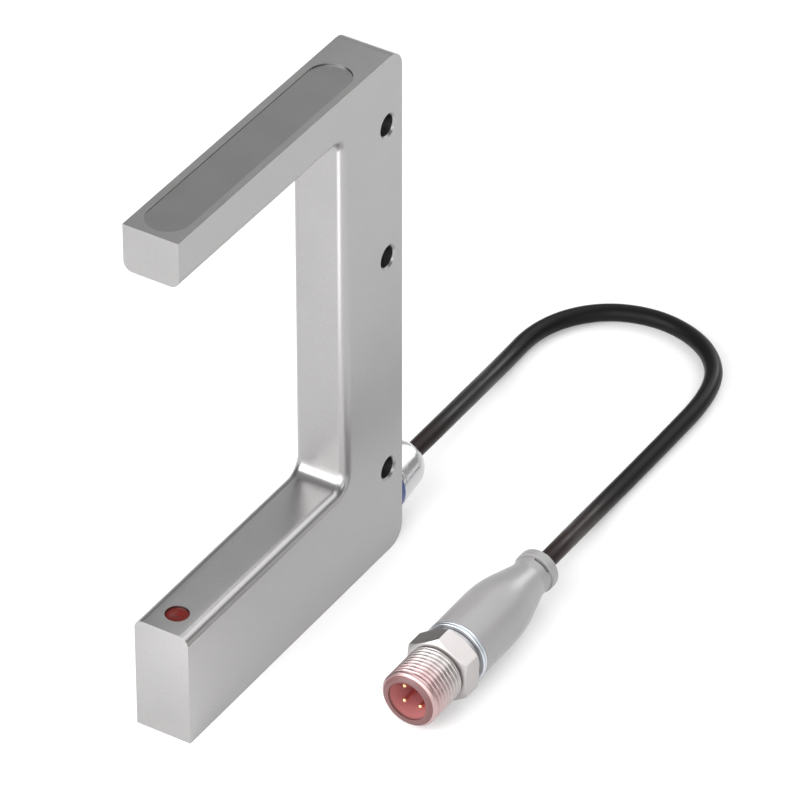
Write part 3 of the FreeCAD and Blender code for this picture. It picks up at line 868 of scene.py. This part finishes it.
@dataclass
class Gland(Assembly):
    """The blue seal, the metal flange and the domed cap at the housing's back."""

    seal_start: float = 37.5
    seal_end: float = 39.0
    seal_radius: float = 6.0
    seal_bore: float = 4.05
    seal_rounding: float = 0.25
    flange_end: float = 40.0
    flange_radius: float = 5.975
    flange_rounding: float = 0.15
    sleeve_radius: float = 4.2
    sleeve_end: float = 43.5
    sleeve_rounding: float = 0.1
    spigot_start: float = 28.0
    spigot_radius: float = 4.0
    spigot_rounding: float = 0.2
    passage: float = 1.93
    base_radius: float = 5.95
    base_rounding: float = 0.2
    dome_y: float = 45.3
    dome_radius: float = 5.35
    dome_rows: int = 22
    room_radius: float = 4.25
    grommet_room: float = 3.2
    grommet_end: float = 46.9

    def cap_outline(self) -> np.ndarray:
        """The cap's closed outline: base, cone, half ball and the rooms inside.

        The half ball's points lie at the dome's radius from the dome's centre, from the cone to
        where the passage breaks through.

        Returns:
            The outline's (back, radius) points in mm.
        """
        last = math.acos(self.passage / self.dome_radius)
        angle = np.linspace(0, last, self.dome_rows)[1:]
        dome = np.stack(
            [self.dome_y + self.dome_radius * np.sin(angle), self.dome_radius * np.cos(angle)], axis=1
        )
        outer = outline_of(
            [
                (self.flange_end, self.room_radius, 0.0),
                (self.flange_end, self.base_radius, self.base_rounding),
                (self.dome_y, self.dome_radius, 0.0),
            ]
        )
        inner = np.array(
            [
                (self.grommet_end, self.passage),
                (self.grommet_end, self.grommet_room),
                (self.sleeve_end, self.grommet_room),
                (self.sleeve_end, self.room_radius),
            ]
        )
        return np.concatenate([outer, dome, inner])

    def build(self) -> None:
        """Makes the gland's pieces."""
        ring = outline_of(
            [
                (self.seal_start, self.seal_bore, 0.0),
                (self.seal_start, self.seal_radius, self.seal_rounding),
                (self.seal_end, self.seal_radius, self.seal_rounding),
                (self.seal_end, self.seal_bore, 0.0),
            ]
        )
        self.place(turned_object("blue_seal", GLAND_AXIS, ring), BLUE_RING, "blue_ring", "seal_ring")
        body = outline_of(
            [
                (self.spigot_start, self.passage, 0.0),
                (self.spigot_start, self.spigot_radius, self.spigot_rounding),
                (self.seal_end, self.spigot_radius, 0.0),
                (self.seal_end, self.flange_radius, self.flange_rounding),
                (self.flange_end, self.flange_radius, self.flange_rounding),
                (self.flange_end, self.sleeve_radius, 0.0),
                (self.sleeve_end, self.sleeve_radius, self.sleeve_rounding),
                (self.sleeve_end, self.passage, 0.0),
            ]
        )
        piece = turned_object("gland_flange", GLAND_AXIS, body)
        self.place(piece, BRIGHT_METAL, "bright_metal", "gland_body")
        cap = turned_object("gland_dome", GLAND_AXIS, self.cap_outline())
        self.place(cap, BRIGHT_METAL, "bright_metal", "gland_cap")


@dataclass
class CouplingScrew(Assembly):
    """The turning screw: M12x1 thread, hexagon and hub in one surface."""

    body: str = "coupling"
    columns: int = 144
    thread_radius: float = 6.0
    thread_length: float = 9.95
    pitch: float = 1.0
    thread_depth: float = 0.42
    lines_per_pitch: int = 14
    root_half_share: float = 0.10
    flank_share: float = 0.28
    run_in: float = 0.5
    run_out: float = 0.25
    tip_radius: float = 5.55
    thread_from: float = 0.9
    groove_from: float = 9.4
    groove_wall: float = 0.12
    groove_radius: float = 5.45
    groove_end_gap: float = 0.02
    flats: float = 13.0
    corner_blunting: float = 0.05
    face_radius: float = 6.35
    chamfer_slope: float = 0.6
    hex_length: float = 5.0
    hub_radius: float = 5.9
    hub_end: float = 16.3
    hub_rounding: float = 0.15
    bore_radius: float = 4.95
    mouth_radius: float = 5.45
    mouth_depth: float = 1.2
    shoulder: float = 10.0
    tail_bore: float = 4.38
    crease: float = 38.0

    def thread(self, angle: np.ndarray) -> Tuple[np.ndarray, np.ndarray]:
        """The thread's rows.

        The phase is the place over the pitch plus the share of a turn. The cut is 0 at the
        crest and 1 at the root, a smooth step between them. It fades in behind the plain tip and
        out before the groove at the hexagon. The tip's chamfer rises one to one.

        Args:
            angle: the angles round the axis.

        Returns:
            The rows' places along the axis and their radii.
        """
        count = int(self.thread_length / self.pitch * self.lines_per_pitch)
        places = np.linspace(0, self.thread_length - self.groove_end_gap, count + 1)
        back = places[:, None] + np.zeros_like(angle)
        phase = (back / self.pitch + angle / (2 * math.pi)) % 1.0
        away = np.clip((np.abs(phase - 0.5) - self.root_half_share) / self.flank_share, 0, 1)
        cut = 1 - away * away * (3 - 2 * away)
        rise = np.clip((back - self.thread_from) / self.run_in, 0, 1)
        fall = np.clip((self.groove_from - back) / self.run_out, 0, 1)
        radius = self.thread_radius - self.thread_depth * cut * rise * fall
        sunk = np.clip((back - self.groove_from) / self.groove_wall, 0, 1)
        radius = radius * (1 - sunk) + self.groove_radius * sunk
        radius = np.minimum(radius, self.tip_radius + back)
        return back, radius

    def hexagon(self, angle: np.ndarray) -> Tuple[np.ndarray, np.ndarray]:
        """The hexagon's rows, with a corner at the top.

        A flat's radius is half the width across flats over the cosine of the angle from the
        flat's middle. The chamfer recedes by its slope times the radius beyond the face circle.

        Args:
            angle: the angles round the axis.

        Returns:
            The rows' places along the axis and their radii.
        """
        from_corner = (angle - math.pi / 2) % (math.pi / 3) - math.pi / 6
        flat = self.flats / 2 / np.cos(from_corner)
        corner = self.flats / math.sqrt(3) - self.corner_blunting
        flat = np.minimum(flat, corner)
        recede = (flat - self.face_radius) * self.chamfer_slope
        start, end = self.thread_length, self.thread_length + self.hex_length
        face = np.full_like(angle, self.face_radius)
        back = [
            start + 0 * angle,
            start + recede,
            (start + end) / 2 + 0 * angle,
            end - recede,
            end + 0 * angle,
        ]
        radius = [face, flat, flat, flat, face]
        return np.concatenate(back), np.concatenate(radius)

    def build(self) -> None:
        """Makes the screw."""
        angle = np.linspace(0, 2 * math.pi, self.columns, endpoint=False)[None] + math.pi / 2
        thread_back, thread_radius = self.thread(angle)
        hex_back, hex_radius = self.hexagon(angle)
        hex_end = self.thread_length + self.hex_length
        inside = outline_of(
            [
                (hex_end, self.hub_radius, 0.0),
                (self.hub_end, self.hub_radius, self.hub_rounding),
                (self.hub_end, self.tail_bore, 0.0),
                (self.shoulder, self.tail_bore, 0.0),
                (self.shoulder, self.bore_radius, 0.0),
                (self.mouth_depth, self.bore_radius, 0.0),
                (self.mouth_depth, self.mouth_radius, 0.0),
                (0.0, self.mouth_radius, 0.0),
            ]
        )
        wide = np.zeros_like(angle)
        groove = np.array([[self.thread_length]]) + wide
        back = np.concatenate([thread_back, groove, hex_back, inside[:, :1] + wide])
        radius = np.concatenate(
            [thread_radius, self.groove_radius + wide, hex_radius, inside[:, 1:] + wide]
        )
        grid = PLUG_AXIS.around(back, radius, angle + np.zeros_like(back))
        piece = wrapped_object("threaded_screw", grid, self.crease)
        self.place(piece, NICKEL_METAL, "nickel_metal", "coupling_screw")


@dataclass
class Plug(Assembly):
    """What stays still in the plug: the red carrier, its pins, the bright ring and the grip."""

    nose: float = 0.45
    rim_radius: float = 4.7
    head_radius: float = 5.37
    head_end: float = 1.1
    nose_rounding: float = 0.12
    head_rounding: float = 0.08
    socket_radius: float = 4.15
    socket_rounding: float = 0.4
    socket_floor: float = 9.4
    carrier_radius: float = 4.87
    carrier_shoulder: float = 9.9
    tail_radius: float = 4.3
    tail_end: float = 24.0
    pin_radius: float = 0.5
    pin_tip: float = 1.2
    pin_root: float = 14.9
    pin_half_pitch: float = 1.77
    pin_tip_rows: int = 9
    pin_columns: int = 32
    ring_start: float = 16.4
    ring_end: float = 17.6
    ring_radius: float = 6.705
    ring_bore: float = 4.35
    ring_rounding: float = 0.25
    bead_rounding: float = 0.2
    ring_groove_half_width: float = 0.08
    ring_groove_depth: float = 0.28
    ring_columns: int = 128
    grip_radius: float = 6.68
    cone_start: float = 32.6
    neck_start: float = 42.7
    neck_radius: float = 4.05
    collar_start: float = 45.55
    collar_radius: float = 4.4
    grip_end: float = 47.75
    front_rounding: float = 0.3
    shoulder_rounding: float = 29.0
    neck_rounding: float = 3.0
    collar_front_rounding: float = 0.15
    collar_rear_rounding: float = 0.5
    seat_rounding: float = 0.15
    grip_arc_steps: int = 12
    grip_columns: int = 144
    seat_radius: float = 1.93
    seat_start: float = 42.25
    slit_front: float = 0.75
    slit_back: float = 0.06
    slit_wall: float = 0.04
    slit_angle: float = 57.0
    slit_half_width: float = 28.0
    slit_fade: float = 6.0
    slit_depth: float = 1.3

    def carrier(self) -> None:
        """The red insert, a cup with a long tail."""
        outline = outline_of(
            [
                (self.socket_floor, 0.0, 0.0),
                (self.socket_floor, self.socket_radius, self.socket_rounding),
                (-self.nose, self.socket_radius, self.nose_rounding),
                (-self.nose, self.rim_radius, self.nose_rounding),
                (0.0, self.head_radius, self.head_rounding),
                (self.head_end, self.head_radius, 0.0),
                (self.head_end, self.carrier_radius, 0.0),
                (self.carrier_shoulder, self.carrier_radius, 0.0),
                (self.carrier_shoulder, self.tail_radius, 0.0),
                (self.tail_end, self.tail_radius, 0.0),
                (self.tail_end, 0.0, 0.0),
            ]
        )
        piece = turned_object("red_insert", PLUG_AXIS, outline)
        self.place(piece, RED_CARRIER, "red_carrier", "contact_carrier")

    def pins(self) -> None:
        """The three gold pins with their ball tips, each a quarter turn of points on a sphere."""
        quarter = np.linspace(0, math.pi / 2, self.pin_tip_rows)
        tip = np.stack(
            [self.pin_tip + self.pin_radius * (1 - np.cos(quarter)), self.pin_radius * np.sin(quarter)],
            axis=1,
        )
        rest = np.array([(self.pin_root, self.pin_radius), (self.pin_root, 0.0)])
        outline = np.concatenate([tip, rest])
        half = self.pin_half_pitch
        middle_x, tip_y, middle_z = PLUG_AXIS.origin
        for number, (x, z) in enumerate([(-half, half), (-half, -half), (half, -half)], start=1):
            axis = Axis((middle_x + x, tip_y, middle_z + z), PLUG_AXIS.along)
            piece = turned_object(f"gold_pin_{number}", axis, outline, self.pin_columns)
            self.place(piece, GOLD_CONTACT, "gold_contact", f"contact_pin_{number}")

    def ring(self) -> None:
        """The bright ring: two rounded beads with a fine groove between them."""
        middle = (self.ring_start + self.ring_end) / 2
        front = middle - self.ring_groove_half_width
        rear = middle + self.ring_groove_half_width
        floor = self.ring_radius - self.ring_groove_depth
        outline = outline_of(
            [
                (self.ring_start, self.ring_bore, 0.0),
                (self.ring_start, self.ring_radius, self.ring_rounding),
                (front, self.ring_radius, self.bead_rounding),
                (front, floor, 0.0),
                (rear, floor, 0.0),
                (rear, self.ring_radius, self.bead_rounding),
                (self.ring_end, self.ring_radius, self.ring_rounding),
                (self.ring_end, self.ring_bore, 0.0),
            ]
        )
        piece = turned_object("double_ring", PLUG_AXIS, outline, self.ring_columns)
        self.place(piece, RING_METAL, "bright_metal", "retaining_ring")

    def grip(self) -> None:
        """The moulded grip with a slit in front of its collar.

        The slit lowers the neck's radius by its depth, within a share of the turn that fades at
        both ends, on the rows just in front of the collar.
        """
        start = self.ring_end
        outer = outline_of(
            [
                (self.tail_end, 0.0, 0.0),
                (self.tail_end, self.ring_bore, 0.0),
                (start, self.ring_bore, 0.0),
                (start, self.grip_radius, self.front_rounding),
                (self.cone_start, self.grip_radius, self.shoulder_rounding),
                (self.neck_start, self.neck_radius, self.neck_rounding),
                (self.collar_start - self.slit_front - self.slit_wall, self.neck_radius, 0.0),
            ],
            steps=self.grip_arc_steps,
        )
        slit = np.array(
            [
                (self.collar_start - self.slit_front, self.neck_radius),
                (self.collar_start - self.slit_back, self.neck_radius),
                (self.collar_start, self.neck_radius),
            ]
        )
        collar = outline_of(
            [
                (self.collar_start, self.neck_radius, 0.0),
                (self.collar_start, self.collar_radius, self.collar_front_rounding),
                (self.grip_end, self.collar_radius, self.collar_rear_rounding),
                (self.grip_end, self.seat_radius, self.seat_rounding),
                (self.seat_start, self.seat_radius, 0.0),
                (self.seat_start, 0.0, 0.0),
            ]
        )
        outline = np.concatenate([outer, slit, collar[1:]])
        back, radius, angle = turned_grid(outline, self.grip_columns)
        cut = slice(len(outer), len(outer) + 2)
        away = np.degrees(angle[cut]) - self.slit_angle
        away = np.abs((away + 180) % 360 - 180)
        open_share = np.clip((self.slit_half_width - away) / self.slit_fade, 0, 1)
        radius[cut] -= self.slit_depth * open_share
        piece = wrapped_object("moulded_grip", PLUG_AXIS.around(back, radius, angle))
        self.place(piece, GRIP_GREY, "grip_grey", "plug_grip")

    def build(self) -> None:
        """Makes the plug's still pieces."""
        self.carrier()
        self.pins()
        self.ring()
        self.grip()


@dataclass
class Cable(Assembly):
    """The cable from the gland to the plug, as one smooth curve, and its tail in the housing."""

    diameter: float = 3.7
    tail_start: float = 22.0
    tail_columns: int = 48
    free_length: float = 0.2
    route: Sequence[Point] = (
        (0.0, 43.0, 9.65),
        (0.0, 57.5, 9.65),
        (-1.9, 73.3, 7.1),
        (-5.6, 93.6, 1.9),
        (-6.1, 109.3, 1.9),
        (1.5, 120.9, 1.9),
        (14.2, 125.1, 1.9),
        (27.2, 121.1, 1.9),
        (35.0, 110.2, 1.9),
        (35.3, 86.2, 1.9),
        (35.2, 64.2, 1.9),
        (36.7, 53.1, 4.3),
        (38.8, 41.6, 7.5456),
        (38.8, 30.05, 7.5456),
    )

    def build(self) -> None:
        curve = bpy.data.curves.new("black_cable", "CURVE")
        curve.dimensions = "3D"
        curve.resolution_u = 24
        curve.bevel_depth = self.diameter / 2 * MM
        curve.bevel_resolution = 8
        curve.use_fill_caps = True
        spline = curve.splines.new("NURBS")
        spline.points.add(len(self.route) - 1)
        places = np.ones((len(self.route), 4))
        places[:, :3] = np.array(self.route) * MM
        spline.points.foreach_set("co", places.ravel())
        spline.order_u = 3
        spline.use_endpoint_u = True
        piece = bpy.data.objects.new("black_cable", curve)
        bpy.context.scene.collection.objects.link(piece)
        self.place(piece, CABLE_JACKET, "cable_jacket", "cable")
        radius = self.diameter / 2
        start, end = self.tail_start, self.route[0][1]
        tail = np.array([(start, 0.0), (start, radius), (end, radius), (end, 0.0)])
        inside = turned_object("cable_tail", GLAND_AXIS, tail, self.tail_columns)
        self.place(inside, CABLE_JACKET, "cable_jacket")


# Studio


@dataclass(frozen=True)
class Lamp:
    """A square soft light: the way to it from the sensor, its distance and side in metres."""

    name: str
    direction: Point
    distance: float
    side: float
    watts: float


LAMPS = (
    Lamp("front_left_light", (-0.50, -0.72, 0.50), distance=1.1, side=0.7, watts=4.8),
    Lamp("low_front_light", (0.05, -1.0, 0.15), distance=1.1, side=2.0, watts=38.0),
    Lamp("back_light", (0.09, 0.95, 0.30), distance=1.2, side=0.35, watts=2.2),
    Lamp("right_light", (0.87, -0.30, 0.32), distance=1.0, side=0.4, watts=1.2),
)


@dataclass
class Studio:
    """The floor, the soft lights, the world and the camera."""

    camera_place: Point = (0.55610, -0.84088, 0.80455)
    camera_direction: Point = (-0.42607, 0.67973, -0.59702)
    focal_length: float = 301.9
    floor_reach: float = 4.0
    floor_drop: float = 0.0001
    floor_albedo: float = 0.80
    floor_glow: float = 0.22
    room_level: float = 0.18
    room_back: float = 0.48
    room_top: float = 0.32
    top_from: float = 0.66
    top_to: float = 0.86
    window_level: float = 1.7
    window_direction: Point = (0.14, 0.68, 0.72)
    window_outer: float = 0.849
    window_inner: float = 0.862
    lamp_target: Point = (0.01, 0.02, 0.05)
    panel_middle: Point = (0.006, -0.075, 0.032)
    panel_width: float = 0.048
    panel_height: float = 0.064
    panel_watts: float = 0.021

    def floor(self) -> None:
        """The pale floor, which camera and mirror rays see as white but for the soft shadow."""
        corners = np.array([(-1, -1), (1, -1), (1, 1), (-1, 1)]) * self.floor_reach
        places = np.column_stack([corners, np.full(4, -self.floor_drop)])
        piece = object_of("floor", places, [(0, 1, 2, 3)])
        made = bpy.data.materials.new("pale_floor")
        made.use_nodes = True
        tree = made.node_tree
        tree.nodes.clear()
        work = Wiring(tree)
        out = work.node("ShaderNodeOutputMaterial")
        matt = work.node("ShaderNodeBsdfDiffuse")
        matt.inputs["Color"].default_value = (self.floor_albedo,) * 3 + (1.0,)
        glow = work.node("ShaderNodeEmission")
        path = work.node("ShaderNodeLightPath")
        seen = work.math("ADD", path.outputs["Is Camera Ray"], path.outputs["Is Glossy Ray"], clamp=True)
        seen = work.math("ADD", seen, path.outputs["Is Transmission Ray"], clamp=True)
        work.join(work.math("MULTIPLY", seen, self.floor_glow), glow.inputs["Strength"])
        both = work.node("ShaderNodeAddShader")
        work.join(matt.outputs[0], both.inputs[0])
        work.join(glow.outputs[0], both.inputs[1])
        work.join(both.outputs[0], out.inputs["Surface"])
        piece.data.materials.append(made)

    def world(self) -> None:
        """The room: evenly lit, brighter above and low at the back, with a window high at the back."""
        made = bpy.data.worlds.new("soft_room")
        bpy.context.scene.world = made
        made.use_nodes = True
        tree = made.node_tree
        tree.nodes.clear()
        work = Wiring(tree)
        out = work.node("ShaderNodeOutputWorld")
        back = work.node("ShaderNodeBackground")
        split = work.node("ShaderNodeSeparateXYZ")
        way = work.node("ShaderNodeTexCoord").outputs["Generated"]
        work.join(way, split.inputs[0])
        behind = work.math("MAXIMUM", split.outputs["Y"], 0.0)
        low = work.math("SUBTRACT", 1.0, work.math("MAXIMUM", split.outputs["Z"], 0.0))
        behind = work.math("MULTIPLY", behind, low)
        level = work.math("ADD", work.math("MULTIPLY", behind, self.room_back), self.room_level)
        above = work.ramp(split.outputs["Z"], self.top_from, self.top_to, 0.0, self.room_top)
        level = work.math("ADD", level, above)
        toward = work.node("ShaderNodeVectorMath", operation="DOT_PRODUCT")
        work.join(way, toward.inputs[0])
        toward.inputs[1].default_value = Vector(self.window_direction).normalized()
        share = work.ramp(toward.outputs["Value"], self.window_outer, self.window_inner)
        level = work.math("ADD", level, work.math("MULTIPLY", share, self.window_level))
        work.join(level, back.inputs["Strength"])
        back.inputs["Color"].default_value = (1.0, 1.0, 1.0, 1.0)
        work.join(back.outputs[0], out.inputs["Surface"])

    def lamp(self, lamp: Lamp) -> None:
        """Places a soft light that looks at the sensor.

        Args:
            lamp: the light.
        """
        data = bpy.data.lights.new(lamp.name, "AREA")
        data.shape = "SQUARE"
        data.size = lamp.side
        data.energy = lamp.watts
        made = bpy.data.objects.new(lamp.name, data)
        bpy.context.scene.collection.objects.link(made)
        target = Vector(self.lamp_target)
        made.location = target + Vector(lamp.direction).normalized() * lamp.distance
        made.rotation_euler = (target - made.location).to_track_quat("-Z", "Y").to_euler()

    def panel(self) -> None:
        """A small upright light in front of the sensor that shines along +Y."""
        data = bpy.data.lights.new("front_panel", "AREA")
        data.shape = "RECTANGLE"
        data.size = self.panel_width
        data.size_y = self.panel_height
        data.energy = self.panel_watts
        made = bpy.data.objects.new("front_panel", data)
        bpy.context.scene.collection.objects.link(made)
        made.location = self.panel_middle
        made.rotation_euler = Vector((0.0, 1.0, 0.0)).to_track_quat("-Z", "Z").to_euler()

    def camera(self) -> None:
        """The camera at the photograph's place."""
        data = bpy.data.cameras.new("camera")
        data.lens = self.focal_length
        data.sensor_width = 36.0
        data.clip_start = 0.01
        data.clip_end = 20.0
        made = bpy.data.objects.new("camera", data)
        made.location = self.camera_place
        made.rotation_euler = Vector(self.camera_direction).to_track_quat("-Z", "Y").to_euler()
        bpy.context.scene.collection.objects.link(made)
        bpy.context.scene.camera = made

    def build(self) -> None:
        """Sets up the studio."""
        bpy.context.scene.view_settings.view_transform = "Standard"
        self.floor()
        self.world()
        for lamp in LAMPS:
            self.lamp(lamp)
        self.panel()
        self.camera()


def main() -> None:
    """Builds the sensor and its studio."""
    logging.basicConfig(level=logging.INFO, format="%(name)s %(message)s")
    for part in (Housing(), Electronics(), Gland(), CouplingScrew(), Plug(), Cable()):
        LOG.info("building %s", type(part).__name__)
        part.build()
    Studio().build()


if __name__ == "__main__":
    main()
